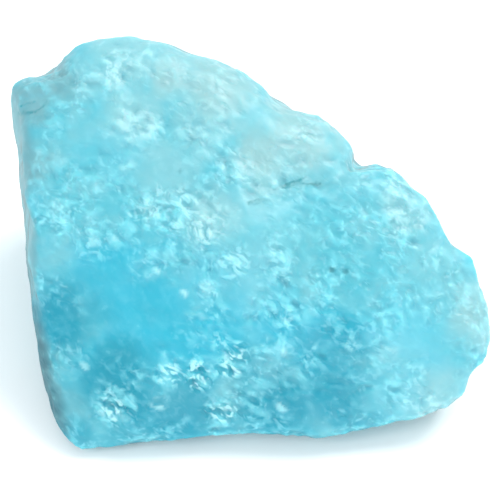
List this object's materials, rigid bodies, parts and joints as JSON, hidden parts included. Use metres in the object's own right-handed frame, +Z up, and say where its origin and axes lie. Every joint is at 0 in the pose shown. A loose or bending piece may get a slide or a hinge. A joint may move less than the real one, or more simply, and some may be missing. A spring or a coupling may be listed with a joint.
{
  "type": "raw aquamarine stone",
  "caption": "Rough, unpolished lump of pale blue aquamarine with a broad chipped face, a stepped right lobe, a small corner block and a flat broken underside.",
  "frame": {"origin": "middle of the stone's bounding box in X and Y, on the plane of the flat face it rests on", "axes": "+X to the right along the stone's longest side, +Y towards its tall back wall, +Z up; the broad chipped face looks towards -Y and up"},
  "size_m": [0.0522, 0.0396, 0.0301],
  "materials": {
    "aquamarine": "natural broken surface, translucent, softly glossy"
  },
  "bodies": {
    "root": {"aquamarine": "aquamarine"}
  },
  "joints": []
}
